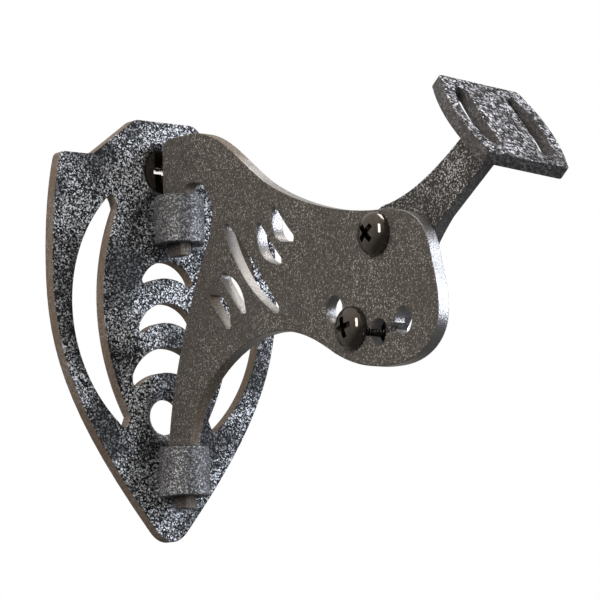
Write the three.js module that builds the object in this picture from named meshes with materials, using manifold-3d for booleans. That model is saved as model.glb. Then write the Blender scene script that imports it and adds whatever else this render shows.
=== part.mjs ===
// Wall hanger for a guitar: a shield-shaped wall plate with two hinge barrels, a swing arm
// whose two downward pins drop into them, and a tilting neck bracket that ends in a slotted
// strap plate. Millimetres, +Z up. The wall is the plane y = 0 and the arm points to -Y.
import * as THREE from 'three';
import { mergeVertices } from 'three/addons/utils/BufferGeometryUtils.js';
import Module from 'manifold-3d';

const wasm = await Module();
wasm.setup();

// ---- driving dimensions -------------------------------------------------------------------
const SHEET = 4;                 // thickness of every laser-cut plate
const GAP = 0.3;                 // air left between two pieces that touch
const SMOOTH = 8;                // segments for one curve of an outline
const ROUND = 32;                // segments round a turned piece

const PLATE_TOP = 51.6;          // wall plate: height above the origin of its flat top
const PLATE_TIP = -73.9;         // and of its lower tip
const SHOULDER_Z = 39.8;
const PLATE_HALF_WIDTH = 40.9;

const WALL_HOLE_Z = 36.8;        // wall screws sit this far above and below the origin
const SINK_R = 8.2;
const WALL_BORE_R = 5.2;

const BARREL_R = 7.4;
const BARREL_BORE_R = 4;
const BARREL_LENGTH = 14.4;
const HINGE_OUT = 10.6;          // hinge axis in front of the wall
const UPPER_BARREL_Z = 13.7;     // lower ends of the two barrels
const LOWER_BARREL_Z = -61.1;

const PIN_HALF_WIDTH = 3;        // flat hinge pins cut in one piece with the arm
const PIN_STANDOUT = 3.4;        // how far a pin shows below its barrel

const PIVOT_OUT = 105;           // tilt pivot of the neck bracket
const PIVOT_Z = 3.6;
const INDEX_R = 27;              // arc of lock holes about the pivot
const INDEX_STEP = 23;
const LOCK_ANGLE = -24;          // degrees from straight down, negative towards the wall
const INDEX_HOLE_R = 3.7;
const LINK_HALF_WIDTH = 1.1;     // narrow slot that joins the lock holes
const FINE_ANGLE = 11.5;         // the bracket's slot lets it tilt this much either way

const SHANK_R = 2.95;            // M6 machine screws
const CLEAR_R = 3.3;
const HEAD_R = 6;
const HEAD_H = 4.1;
const SCREW_LENGTH = 18;

const HEAD_TILT = 49;            // strap plate: dip of its face below horizontal, degrees
const HEAD_OUT = 152;
const HEAD_Z = 27.8;
const HEAD_SKEW = 3;             // it is welded on this many degrees askew, both ways
const HEAD_HALF = { across: 14.3, along: 16.3, bulge: 17 };
const SLOT_HALF_LENGTH = 11.7;

const rad = THREE.MathUtils.degToRad;
const group = new THREE.Group();

// ---- small tools --------------------------------------------------------------------------
// Watertight body of a geometry: corners welded, collapsed triangles at the poles dropped.
function solid(geometry) {
  const g = geometry.clone();
  g.deleteAttribute('normal');
  g.deleteAttribute('uv');
  const welded = mergeVertices(g, 1e-5);
  const corners = welded.index.array;
  const kept = [];
  for (let i = 0; i < corners.length; i += 3) {
    const [a, b, c] = [corners[i], corners[i + 1], corners[i + 2]];
    if (a !== b && b !== c && c !== a) kept.push(a, b, c);
  }
  return new wasm.Manifold(new wasm.Mesh({
    numProp: 3,
    vertProperties: new Float32Array(welded.attributes.position.array),
    triVerts: new Uint32Array(kept),
  }));
}

// Back to a geometry with flat-shaded faces.
function fromSolid(body) {
  const mesh = body.getMesh();
  const g = new THREE.BufferGeometry();
  g.setAttribute('position', new THREE.BufferAttribute(new Float32Array(mesh.vertProperties), 3));
  g.setIndex(new THREE.BufferAttribute(new Uint32Array(mesh.triVerts), 1));
  return g.toNonIndexed();
}

function cut(geometry, ...tools) {
  let body = solid(geometry);
  for (const tool of tools) body = body.subtract(solid(tool));
  return fromSolid(body);
}

function add(name, shape, colour, metalness, roughness) {
  const geometry = fromSolid(solid(shape));
  geometry.computeVertexNormals();
  const material = new THREE.MeshStandardMaterial({ color: colour, metalness, roughness });
  const mesh = new THREE.Mesh(geometry, material);
  mesh.name = name;
  group.add(mesh);
}

const addCoated = (name, geometry) => add(name, geometry, 0x2b2a2b, 0.4, 0.6);
const addBlackScrew = (name, geometry) => add(name, geometry, 0x15151a, 0.8, 0.3);
const addZinc = (name, geometry) => add(name, geometry, 0x8d9096, 0.9, 0.35);
const addNylon = (name, geometry) => add(name, geometry, 0xe8e6dc, 0, 0.5);

// Sheet lying parallel to the wall, back face at y = 0.
function wallSheet(shape) {
  const g = new THREE.ExtrudeGeometry(shape, { depth: SHEET, bevelEnabled: false, curveSegments: SMOOTH });
  return g.rotateX(Math.PI / 2);
}

// Sheet standing square to the wall: outline drawn as (out from wall, up), from x0 to x0 + SHEET.
function armSheet(shape, x0) {
  const g = new THREE.ExtrudeGeometry(shape, { depth: SHEET, bevelEnabled: false, curveSegments: SMOOTH });
  const turn = new THREE.Matrix4().makeBasis(
    new THREE.Vector3(0, -1, 0), new THREE.Vector3(0, 0, 1), new THREE.Vector3(-1, 0, 0));
  return g.applyMatrix4(turn).translate(x0 + SHEET, 0, 0);
}

function turned(profile) {
  const points = profile.map(([r, h]) => new THREE.Vector2(r, h));
  return new THREE.LatheGeometry(points, ROUND);
}

function ring(inner, outer, thickness) {
  const flat = [[inner, 0], [outer, 0], [outer, thickness], [inner, thickness], [inner, 0]];
  return turned(flat);
}

// ---- wall plate ---------------------------------------------------------------------------
function rightEdge(shape) {
  shape.moveTo(9, PLATE_TOP);
  shape.quadraticCurveTo(10.8, PLATE_TOP, 12.2, 50.4);
  shape.lineTo(24.6, 41);
  shape.quadraticCurveTo(26.4, SHOULDER_Z, 28.6, SHOULDER_Z);
  shape.lineTo(35.6, SHOULDER_Z);
  shape.quadraticCurveTo(37.6, SHOULDER_Z, 38, 37.6);
  shape.bezierCurveTo(40.2, 28, PLATE_HALF_WIDTH, 17, PLATE_HALF_WIDTH, 7);
  shape.bezierCurveTo(PLATE_HALF_WIDTH, -17, 35.9, -35, 5.6, -70.8);
  shape.quadraticCurveTo(3, PLATE_TIP, 0, PLATE_TIP);
}

function mirrored(points) {
  return points.map((p) => new THREE.Vector2(-p.x, p.y)).reverse();
}

function shieldOutline() {
  const half = new THREE.Path();
  rightEdge(half);
  const right = half.getPoints(SMOOTH);
  return new THREE.Shape([...right, ...mirrored(right).slice(1)]);
}

function crescent() {
  const path = new THREE.Path();
  path.absarc(-11.5, -4.7, 45.6, rad(43.6), rad(-49.4), true);
  path.quadraticCurveTo(15.8, -42.8, 14.2, -37.3);
  path.absarc(-46.4, -3.1, 69.6, rad(-29.4), rad(23.2), false);
  path.quadraticCurveTo(19, 30.6, 21.5, 26.7);
  return path.getPoints(SMOOTH);
}

// Arched opening: outer and inner arcs about centres on the plate's middle line.
function arch({ top, half, foot, innerTop, innerHalf, innerFoot, tip }) {
  const outer = arcThrough(half, foot, top);
  const inner = arcThrough(innerHalf, innerFoot, innerTop);
  const path = new THREE.Path();
  path.absarc(0, outer.z, outer.r, outer.end, Math.PI - outer.end, false);
  path.quadraticCurveTo(-tip[0], tip[1], -innerHalf, innerFoot);
  path.absarc(0, inner.z, inner.r, Math.PI - inner.end, inner.end, true);
  path.quadraticCurveTo(tip[0], tip[1], half, foot);
  return path;
}

// Circle centred on the middle line that passes (half, foot) and (0, top).
function arcThrough(half, foot, top) {
  const rise = top - foot;
  const r = (half * half + rise * rise) / (2 * rise);
  const z = top - r;
  return { r, z, end: Math.atan2(foot - z, half) };
}

const ARCHES = [
  { top: 9.5, half: 9, foot: 3.9, innerTop: 4.5, innerHalf: 6.8, innerFoot: 2.8, tip: [9.3, 2] },
  { top: -3, half: 10.4, foot: -10.4, innerTop: -8.8, innerHalf: 8.3, innerFoot: -11.8, tip: [10.9, -13.2] },
  { top: -16.3, half: 13, foot: -25, innerTop: -23.7, innerHalf: 10.6, innerFoot: -28, tip: [13.6, -29.4] },
];

function countersink(z) {
  const flare = SINK_R - WALL_BORE_R;
  const profile = [[0, -1], [WALL_BORE_R, -1], [WALL_BORE_R, SHEET - flare], [SINK_R, SHEET],
    [SINK_R, SHEET + 1], [0, SHEET + 1]];
  return turned(profile).rotateX(Math.PI).translate(0, 0, z);
}

function wallPlate() {
  const right = crescent();
  const openings = [right, mirrored(right), ...ARCHES.map((a) => arch(a).getPoints(SMOOTH))];
  const tools = openings.map((o) => wallSheet(new THREE.Shape(o)).scale(1, 3, 1).translate(0, SHEET, 0));
  return cut(wallSheet(shieldOutline()), ...tools, countersink(WALL_HOLE_Z), countersink(-WALL_HOLE_Z));
}
addCoated('wall_plate', wallPlate());

// ---- hinge barrels and their welds --------------------------------------------------------
function barrel(z) {
  const tube = ring(BARREL_BORE_R, BARREL_R, BARREL_LENGTH).rotateX(Math.PI / 2);
  tube.translate(0, -HINGE_OUT, z);
  const seat = new THREE.BoxGeometry(20, 10, 2 * BARREL_LENGTH);
  seat.translate(0, -SHEET - GAP / 2 + 5, z + BARREL_LENGTH / 2);
  return cut(tube, seat);
}

// Small fillet bead that fills the corner between a barrel and the plate, on one side.
function barrelWeld(z, side) {
  const face = -SHEET - GAP;
  const reach = BARREL_R + GAP;
  const start = Math.asin((HINGE_OUT + face) / reach);
  const path = new THREE.Path();
  path.absarc(0, -HINGE_OUT, reach, start, start - rad(22), true);
  path.quadraticCurveTo(7.1, face - 0.9, 7.6, face);
  const points = path.getPoints(SMOOTH / 2);
  const shape = new THREE.Shape(side > 0 ? points : mirrored(points));
  const g = new THREE.ExtrudeGeometry(shape, { depth: BARREL_LENGTH - 1, bevelEnabled: false });
  return g.translate(0, 0, z + 0.5);
}

for (const [name, z] of [['upper', UPPER_BARREL_Z], ['lower', LOWER_BARREL_Z]]) {
  addCoated(`${name}_barrel`, barrel(z));
  addCoated(`${name}_weld_left`, barrelWeld(z, -1));
  addCoated(`${name}_weld_right`, barrelWeld(z, 1));
}

// ---- screws, washers and nuts -------------------------------------------------------------
// Cross recess, cut downward from height h.
function crossRecess(h, depth, span, width) {
  const s = span / 2;
  const w = width / 2;
  const plus = new THREE.Shape();
  plus.moveTo(s, -w);
  for (const [x, y] of [[s, w], [w, w], [w, s], [-w, s], [-w, w], [-s, w], [-s, -w], [-w, -w],
    [-w, -s], [w, -s], [w, -w]]) plus.lineTo(x, y);
  const g = new THREE.ExtrudeGeometry(plus, { depth: depth + 2, bevelEnabled: false });
  return g.rotateX(-Math.PI / 2).translate(0, h - depth, 0);
}

// Domed pan head above y = 0, threaded shank below it.
function machineScrew() {
  const side = 1.1;
  const dome = new THREE.Path();
  dome.moveTo(HEAD_R, side);
  dome.bezierCurveTo(HEAD_R - 0.2, 2.9, 3.4, HEAD_H, 0, HEAD_H);
  const top = dome.getPoints(SMOOTH).map((p) => [p.x, p.y]);
  top[top.length - 1][0] = 0;
  const profile = [[0, -SCREW_LENGTH], [SHANK_R - 0.7, -SCREW_LENGTH], [SHANK_R, -SCREW_LENGTH + 0.7],
    [SHANK_R, 0], [HEAD_R - 0.2, 0], ...top];
  return cut(turned(profile), crossRecess(HEAD_H, 2.4, 7, 1.7));
}

// Hexagon nut with a rounded collar that grips a nylon ring.
function lockNut() {
  const corner = 10 / Math.sqrt(3);
  const hex = new THREE.CylinderGeometry(corner, corner, 5, 6);
  hex.translate(0, 2.5, 0);
  const chamfer = turned([[0, -0.1], [4.9, -0.1], [5.9, 0.7], [5.9, 4.2], [5, 5], [4.6, 6.3],
    [4, 6.6], [0, 6.6]]);
  const collar = turned([[0, 4.8], [4.7, 4.8], [4.6, 6.3], [4, 6.6], [0, 6.6]]);
  const bore = turned([[0, -1], [SHANK_R + 0.06, -1], [SHANK_R + 0.06, 4.6], [4, 4.6], [4, 6.1],
    [3.6, 6.1], [3.6, 8], [0, 8]]);
  const body = solid(hex).intersect(solid(chamfer)).add(solid(collar)).subtract(solid(bore));
  return fromSolid(body);
}

// Puts a turned piece on a cross axis of the arm: its +Y end looks to -X, its y = 0 plane at x.
function across(geometry, x, out, z) {
  return geometry.rotateZ(Math.PI / 2).translate(x, -out, z);
}

function fastener(name, out, z) {
  const washerX = SHEET / 2 + GAP + SHEET + 0.1;
  const nutX = washerX + 1.6;
  addBlackScrew(`${name}_screw`, across(machineScrew(), -SHEET / 2 - 0.1, out, z));
  addZinc(`${name}_washer`, across(ring(CLEAR_R, 6.2, 1.5), washerX + 1.5, out, z));
  const nut = lockNut().rotateZ(-Math.PI / 2).translate(nutX, -out, z);
  addZinc(`${name}_nut`, nut);
  const insert = ring(SHANK_R + 0.05, 3.9, 1.3).rotateZ(-Math.PI / 2);
  addNylon(`${name}_nut_insert`, insert.translate(nutX + 4.7, -out, z));
}

// Countersunk screw through the plate's upper hole into the wall.
function wallScrew() {
  const profile = [[0, -34], [0.5, -33], [2.6, -27], [2.6, -4], [3.1, -0.6], [6.7, 2.9], [6.7, 3.2],
    [6, 3.3], [0, 3.3]];
  return cut(turned(profile), crossRecess(3.3, 3, 8, 1.9)).rotateX(Math.PI);
}
addBlackScrew('wall_screw', wallScrew().translate(0, 0, WALL_HOLE_Z));

// ---- swing arm ----------------------------------------------------------------------------
const v = (x, y) => new THREE.Vector2(x, y);

// Point on the arc of lock holes, angle from straight down below the pivot.
function indexPoint(angle) {
  const a = rad(angle);
  return v(PIVOT_OUT + INDEX_R * Math.sin(a), PIVOT_Z - INDEX_R * Math.cos(a));
}

function pin(shape, shoulderZ, from, to, endZ) {
  shape.lineTo(from, shoulderZ);
  shape.lineTo(from, endZ);
  shape.lineTo(to, endZ);
  shape.lineTo(to, shoulderZ);
}

function armOutline() {
  const inner = HINGE_OUT - PIN_HALF_WIDTH;
  const outer = HINGE_OUT + PIN_HALF_WIDTH;
  const upperTop = UPPER_BARREL_Z + BARREL_LENGTH + GAP;
  const lowerTop = LOWER_BARREL_Z + BARREL_LENGTH + GAP;
  const s = new THREE.Shape();
  s.moveTo(5.3, upperTop);
  s.lineTo(5.3, 42.4);
  s.quadraticCurveTo(5.5, 45.6, 9, 45.7);
  s.lineTo(19, 45.5);
  s.bezierCurveTo(33, 45.2, 41, 35, 54, 26.4);
  s.bezierCurveTo(68, 17.8, 88, 11.6, 106, 10.3);
  s.bezierCurveTo(118, 9.6, 125.6, 6, 127.3, -4);
  s.bezierCurveTo(128.6, -10, 130.1, -13, 130.1, -19.4);
  s.bezierCurveTo(130.1, -28, 122, -33.1, 111, -33.1);
  s.bezierCurveTo(99, -33.1, 92, -30.6, 85, -27.1);
  s.bezierCurveTo(78, -23, 69, -17.9, 57, -17.9);
  s.bezierCurveTo(40, -17.9, 18, -30, 16, lowerTop);
  pin(s, lowerTop, outer, inner, LOWER_BARREL_Z - PIN_STANDOUT);
  s.lineTo(5.6, lowerTop);
  s.bezierCurveTo(7.4, -28, 15, -12, 19.9, -1);
  s.bezierCurveTo(24, 8, 29.4, 14, 29.4, 20.5);
  s.bezierCurveTo(29.4, 26, 25.6, 30.7, 19.6, 30.7);
  s.quadraticCurveTo(16, 30.7, 16, upperTop);
  pin(s, upperTop, outer, inner, UPPER_BARREL_Z - PIN_STANDOUT);
  s.closePath();
  return s;
}

// Gill-like slit between two ends, its two long sides bowed by different amounts.
function gill(a, b, bowLow, bowHigh) {
  const endR = 1.15;
  const along = b.clone().sub(a).normalize();
  const low = v(along.y, -along.x);
  const mid = a.clone().add(b).multiplyScalar(0.5);
  const off = (p, n, d) => p.clone().addScaledVector(n, d);
  const path = new THREE.Path();
  const a1 = off(a, low, endR);
  const a2 = off(a, low, -endR);
  const b1 = off(b, low, endR);
  const b2 = off(b, low, -endR);
  const c1 = off(mid, low, 2 * bowLow - endR);
  const c2 = off(mid, low, -2 * bowHigh + endR);
  const tipA = off(a, along, -2 * endR);
  const tipB = off(b, along, 2 * endR);
  path.moveTo(a1.x, a1.y);
  path.quadraticCurveTo(c1.x, c1.y, b1.x, b1.y);
  path.quadraticCurveTo(tipB.x, tipB.y, b2.x, b2.y);
  path.quadraticCurveTo(c2.x, c2.y, a2.x, a2.y);
  path.quadraticCurveTo(tipA.x, tipA.y, a1.x, a1.y);
  return path;
}

const GILLS = [
  gill(v(36.2, 15.1), v(59.3, -11.7), 4.2, 1.9),
  gill(v(51.6, 13.2), v(60.9, 2.1), 4.3, 0.9),
  gill(v(59.1, 16.7), v(66.8, 7.8), 4.6, 0.9),
  gill(v(34.2, 1), v(43.6, -10), 1.3, 3.2),
  gill(v(28.5, -4.7), v(36.2, -13.5), 1.1, 3.9),
];

// Curved slot about the pivot between two angles, with round ends.
function arcSlot(from, to, halfWidth) {
  const shape = new THREE.Shape();
  const turn = -Math.PI / 2;
  const a = rad(from) + turn;
  const b = rad(to) + turn;
  const start = indexPoint(from);
  const end = indexPoint(to);
  shape.absarc(PIVOT_OUT, PIVOT_Z, INDEX_R + halfWidth, a, b, false);
  shape.absarc(end.x, end.y, halfWidth, b, b + Math.PI, false);
  shape.absarc(PIVOT_OUT, PIVOT_Z, INDEX_R - halfWidth, b, a, true);
  shape.absarc(start.x, start.y, halfWidth, a + Math.PI, a + 2 * Math.PI, false);
  return shape;
}

// Cutter for an opening that runs square through a sheet of the arm.
function armCutter(path) {
  return armSheet(new THREE.Shape(path.getPoints(SMOOTH)), -SHEET / 2).scale(9, 1, 1);
}

function pivotBore() {
  return armCutter(new THREE.Path().absarc(PIVOT_OUT, PIVOT_Z, CLEAR_R, 0, 2 * Math.PI, false));
}

function swingArm() {
  const angles = [-1, 0, 1, 2].map((k) => LOCK_ANGLE + k * INDEX_STEP);
  const holes = angles.map((a) => {
    const c = indexPoint(a);
    return new THREE.Path().absarc(c.x, c.y, INDEX_HOLE_R, 0, 2 * Math.PI, false);
  });
  const openings = [...holes, ...GILLS, arcSlot(angles[0], angles[3], LINK_HALF_WIDTH)];
  return cut(armSheet(armOutline(), -SHEET / 2), pivotBore(), ...openings.map(armCutter));
}
addCoated('swing_arm', swingArm());

// ---- neck bracket and strap plate ---------------------------------------------------------
const BRACKET_X = SHEET / 2 + GAP;
const PLATE_X = BRACKET_X + SHEET / 2;
const dipCos = Math.cos(rad(HEAD_TILT));
const dipSin = Math.sin(rad(HEAD_TILT));

// Point under the strap plate: s runs down its slope, n away from its face.
function underHead(s, n) {
  return v(HEAD_OUT + dipCos * s + dipSin * n, HEAD_Z - dipSin * s + dipCos * n);
}

function bracketOutline() {
  const s = new THREE.Shape();
  const top = underHead(-7.4, -SHEET - GAP);
  const low = underHead(4.6, -SHEET - GAP);
  s.moveTo(98.4, 9.4);
  s.quadraticCurveTo(100.6, 12.4, 105, 12.4);
  s.bezierCurveTo(120, 14.4, 133, 23.4, top.x, top.y);
  s.lineTo(low.x, low.y);
  s.lineTo(128.3, 5.6);
  s.bezierCurveTo(117.4, -4, 115, -12, 109, -20.3);
  s.bezierCurveTo(102.6, -29.2, 91, -33.5, 84.9, -23.4);
  s.bezierCurveTo(81.4, -17, 92.6, -6, 96.1, 3.6);
  s.quadraticCurveTo(97, 7, 98.4, 9.4);
  s.closePath();
  return s;
}

function neckBracket() {
  const slot = armCutter(arcSlot(LOCK_ANGLE - FINE_ANGLE, LOCK_ANGLE + FINE_ANGLE, CLEAR_R));
  return cut(armSheet(bracketOutline(), BRACKET_X), pivotBore(), slot);
}
addCoated('neck_bracket', neckBracket());

// Curved slot for one leg of the strap, right of the middle.
function strapSlot() {
  const end = SLOT_HALF_LENGTH - 0.8;
  const tip = SLOT_HALF_LENGTH + 1.6;
  const path = new THREE.Path();
  path.moveTo(11.2, -end);
  path.quadraticCurveTo(16, 0, 11.2, end);
  path.quadraticCurveTo(9.2, tip, 6.8, end);
  path.quadraticCurveTo(8.2, 0, 6.8, -end);
  path.quadraticCurveTo(9.2, -tip, 11.2, -end);
  return path.getPoints(SMOOTH);
}

function headOutline() {
  const { across: w, along: h, bulge } = HEAD_HALF;
  const r = 1.6;
  const right = new THREE.Path();
  right.moveTo(w - r, h);
  right.quadraticCurveTo(w, h, w + 0.2, h - r);
  right.quadraticCurveTo(2 * bulge - w - 0.2, 0, w + 0.2, -h + r);
  right.quadraticCurveTo(w, -h, w - r, -h);
  const points = right.getPoints(SMOOTH);
  return new THREE.Shape([...points, ...mirrored(points)]);
}

// Moves a piece drawn flat, face up at z = 0, onto the strap plate's face.
function ontoHead(geometry) {
  const skewed = geometry.rotateZ(-rad(HEAD_SKEW)).rotateY(rad(HEAD_SKEW));
  return skewed.rotateX(rad(HEAD_TILT)).translate(PLATE_X, -HEAD_OUT, HEAD_Z);
}

function headPlate() {
  const slot = strapSlot();
  const plate = new THREE.ExtrudeGeometry(headOutline(), { depth: SHEET, bevelEnabled: false });
  const slots = [slot, mirrored(slot)].map((points) => {
    const outline = new THREE.Shape(points);
    const tool = new THREE.ExtrudeGeometry(outline, { depth: 3 * SHEET, bevelEnabled: false });
    return tool.translate(0, 0, -SHEET);
  });
  return ontoHead(cut(plate, ...slots).translate(0, 0, -SHEET));
}
addCoated('head_plate', headPlate());

// Fillet bead between the bracket's end and the underside of the strap plate, on one side.
function headWeld(side) {
  const leg = 3;
  const x = SHEET / 2 + 2 * GAP;
  const z = -SHEET - GAP;
  const path = new THREE.Path();
  path.moveTo(x, z);
  path.lineTo(x + leg, z);
  path.quadraticCurveTo(x + 0.6 * leg, z - 0.6 * leg, x, z - leg);
  const points = path.getPoints(SMOOTH / 2);
  const shape = new THREE.Shape(side > 0 ? points : mirrored(points));
  const g = new THREE.ExtrudeGeometry(shape, { depth: 10.4, bevelEnabled: false });
  return ontoHead(g.rotateX(Math.PI / 2).translate(0, 6.6, 0));
}
addCoated('head_weld_left', headWeld(-1));
addCoated('head_weld_right', headWeld(1));

const lock = indexPoint(LOCK_ANGLE);
fastener('pivot', PIVOT_OUT, PIVOT_Z);
fastener('lock', lock.x, lock.y);

export default group;
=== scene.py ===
# Wall hanger for a guitar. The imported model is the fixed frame; metres, +Z up, the wall at y = 0.
import math
import bmesh
import bpy
from mathutils import Matrix, Vector, noise


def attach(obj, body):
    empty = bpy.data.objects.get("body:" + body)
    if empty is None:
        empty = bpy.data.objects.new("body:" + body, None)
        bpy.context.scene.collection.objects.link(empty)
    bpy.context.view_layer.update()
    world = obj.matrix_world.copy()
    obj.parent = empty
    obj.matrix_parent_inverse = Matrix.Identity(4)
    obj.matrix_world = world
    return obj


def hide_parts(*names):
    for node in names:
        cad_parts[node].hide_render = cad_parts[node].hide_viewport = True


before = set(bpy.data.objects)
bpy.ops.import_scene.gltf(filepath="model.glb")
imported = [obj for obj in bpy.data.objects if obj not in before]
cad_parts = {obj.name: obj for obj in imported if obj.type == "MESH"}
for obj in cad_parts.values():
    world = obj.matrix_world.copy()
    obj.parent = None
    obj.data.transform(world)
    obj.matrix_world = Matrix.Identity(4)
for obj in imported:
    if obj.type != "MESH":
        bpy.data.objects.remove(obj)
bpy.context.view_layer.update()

MM = 0.001

# ---- studio: camera, floor, lights --------------------------------------------------------
# A long lens looks slightly up at the hanger from its left front. The room is white and
# lights the piece mostly from above; three soft panels stand right front, overhead and left.
CAMERA_AT = Vector((-585.2, -816.7, -140.5)) * MM
CAMERA_TO = Vector((52.9, 0.0, 1.9)) * MM
CAMERA_ROLL = math.radians(1.46)

lens = bpy.data.cameras.new("studio_camera")
lens.sensor_width = 36.0
lens.lens = 204.0
lens.clip_start = 0.01
lens.clip_end = 20.0
ahead = (CAMERA_TO - CAMERA_AT).normalized()
level = ahead.cross(Vector((0, 0, 1))).normalized()
upward = level.cross(ahead)
right = level * math.cos(CAMERA_ROLL) - upward * math.sin(CAMERA_ROLL)
up = level * math.sin(CAMERA_ROLL) + upward * math.cos(CAMERA_ROLL)
turn = Matrix((right, up, -ahead)).transposed().to_4x4()


def hex_colour(code):
    """Linear RGBA of an sRGB hex colour."""
    parts = [int(code[i:i + 2], 16) / 255 for i in (0, 2, 4)]
    linear = [c / 12.92 if c <= 0.04045 else ((c + 0.055) / 1.055) ** 2.4 for c in parts]
    return (*linear, 1.0)


def add_node(tree, kind, feeds=None, **settings):
    """One node with its settings, its input values and the sockets that feed it."""
    node = tree.nodes.new(kind)
    for key, value in settings.items():
        setattr(node, key, value)
    for socket, value in (feeds or {}).items():
        target = node.inputs[socket]
        if isinstance(value, bpy.types.NodeSocket):
            tree.links.new(value, target)
        else:
            target.default_value = value
    return node


def new_object(name, mesh):
    """Object of a mesh, curve or lamp, linked into the scene."""
    piece = bpy.data.objects.new(name, mesh)
    bpy.context.collection.objects.link(piece)
    return piece


def blank_finish(name):
    """New material with its node tree and its shader."""
    material = bpy.data.materials.new(name)
    material.use_nodes = True
    tree = material.node_tree
    return material, tree, tree.nodes["Principled BSDF"]


camera = new_object("studio_camera", lens)
camera.matrix_world = Matrix.Translation(CAMERA_AT) @ turn
bpy.context.scene.camera = camera
bpy.context.scene.view_settings.view_transform = "Standard"


def painted_floor():
    """Pale matt floor paint, faintly clouded where it was rolled. It glows a little."""
    material, tree, shader = blank_finish("pale_floor_paint")
    place = add_node(tree, "ShaderNodeTexCoord")
    clouds = add_node(tree, "ShaderNodeTexNoise", {"Vector": place.outputs["Object"], "Scale": 3.0})
    tone = add_node(tree, "ShaderNodeMix", {
        0: clouds.outputs["Fac"], 6: hex_colour("F1F0EE"), 7: hex_colour("E9E8E6")}, data_type="RGBA")
    tree.links.new(tone.outputs[2], shader.inputs["Base Color"])
    tree.links.new(tone.outputs[2], shader.inputs["Emission Color"])
    shader.inputs["Emission Strength"].default_value = 0.4
    shader.inputs["Roughness"].default_value = 0.7
    return material


FLOOR_Z = -0.9
FLOOR_HALF = 6.0
floor_mesh = bpy.data.meshes.new("floor")
ways = ((-1, -1), (1, -1), (1, 1), (-1, 1))
corners = [(x * FLOOR_HALF, y * FLOOR_HALF, FLOOR_Z) for x, y in ways]
floor_mesh.from_pydata(corners, [], [(0, 1, 2, 3)])
floor_mesh.materials.append(painted_floor())
floor = new_object("floor", floor_mesh)
# The floor is only looked at: it neither lights the hanger nor shows in its metal.
floor.visible_diffuse = False
floor.visible_glossy = False

# The room looks white behind the piece, but lights it more from above and behind the wall.
ROOM_ABOVE = 0.62
ROOM_BELOW = 0.1
BRIGHT_WAY = (-0.1, 0.45, 0.9)
world = bpy.data.worlds.new("white_room")
world.use_nodes = True
room = world.node_tree
seen = add_node(room, "ShaderNodeLightPath")
outward = add_node(room, "ShaderNodeTexCoord")
skyward = add_node(room, "ShaderNodeVectorMath", {0: outward.outputs["Generated"], 1: BRIGHT_WAY},
                   operation="DOT_PRODUCT")
ceiling = add_node(room, "ShaderNodeMapRange", {
    "Value": skyward.outputs["Value"], "From Min": -0.5, "From Max": 0.9,
    "To Min": ROOM_BELOW, "To Max": ROOM_ABOVE})
brightness = add_node(room, "ShaderNodeMapRange", {
    "Value": seen.outputs["Is Camera Ray"], "To Min": ceiling.outputs["Result"], "To Max": 1.0})
tint = add_node(room, "ShaderNodeMix", {
    0: seen.outputs["Is Camera Ray"], 6: hex_colour("FFFAF2"), 7: hex_colour("FFFFFF")},
    data_type="RGBA")
room.links.new(tint.outputs[2], room.nodes["Background"].inputs["Color"])
room.links.new(brightness.outputs["Result"], room.nodes["Background"].inputs["Strength"])
bpy.context.scene.world = world


LIGHT_AIM = Vector((0.0, -0.07, 0.0))


def soft_panel(name, at, size, watts, tint):
    """Rectangular soft light aimed at the middle of the hanger."""
    lamp = bpy.data.lights.new(name, "AREA")
    lamp.shape = "RECTANGLE"
    lamp.size, lamp.size_y = size
    lamp.energy = watts
    lamp.color = hex_colour(tint)[:3]
    panel = new_object(name, lamp)
    panel.location = at
    aim = LIGHT_AIM - Vector(at)
    panel.rotation_euler = aim.to_track_quat("-Z", "Y").to_euler()


soft_panel("panel_right_front", (0.95, -0.95, 0.25), (0.5, 0.9), 13.5, "EEF3FF")
soft_panel("panel_overhead", (0.35, -0.15, 1.15), (0.8, 0.6), 9.0, "FFF8F0")
soft_panel("panel_left", (-1.15, -0.6, 0.45), (0.4, 0.8), 10.0, "FFF8F2")

# ---- wall plate ---------------------------------------------------------------------------
# Laser-cut 4 mm mild steel sheet in the shape of a shield, with two tall crescents, three
# arches and two countersunk holes. Its edges are tumbled soft and the whole piece is coated.
SHEET = 4.0
SOFT_EDGE = 0.35
FINE = 14


def drawn(start, *steps):
    """Outline points: each step is the control points of a line, quadratic or cubic curve."""
    points = [Vector(start)]
    for step in steps:
        controls = [points[-1]] + [Vector(c) for c in step]
        count = 1 if len(step) == 1 else FINE
        for i in range(1, count + 1):
            row = controls
            while len(row) > 1:
                row = [a.lerp(b, i / count) for a, b in zip(row, row[1:])]
            points.append(row[0])
    return points


def arc(centre, radius, start, end, count=24):
    """Points of an arc, angles in degrees."""
    middle = Vector(centre)
    angles = [math.radians(start + (end - start) * i / count) for i in range(count + 1)]
    return [middle + radius * Vector((math.cos(a), math.sin(a))) for a in angles]


def mirrored(points):
    """The same outline on the other side of the middle line."""
    return [Vector((-p.x, p.y)) for p in reversed(points)]


def thinned(points):
    """Outline without points that lie on top of each other."""
    followers = points[1:] + points[:1]
    return [p for p, q in zip(points, followers) if (p - q).length > 0.02]


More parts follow.
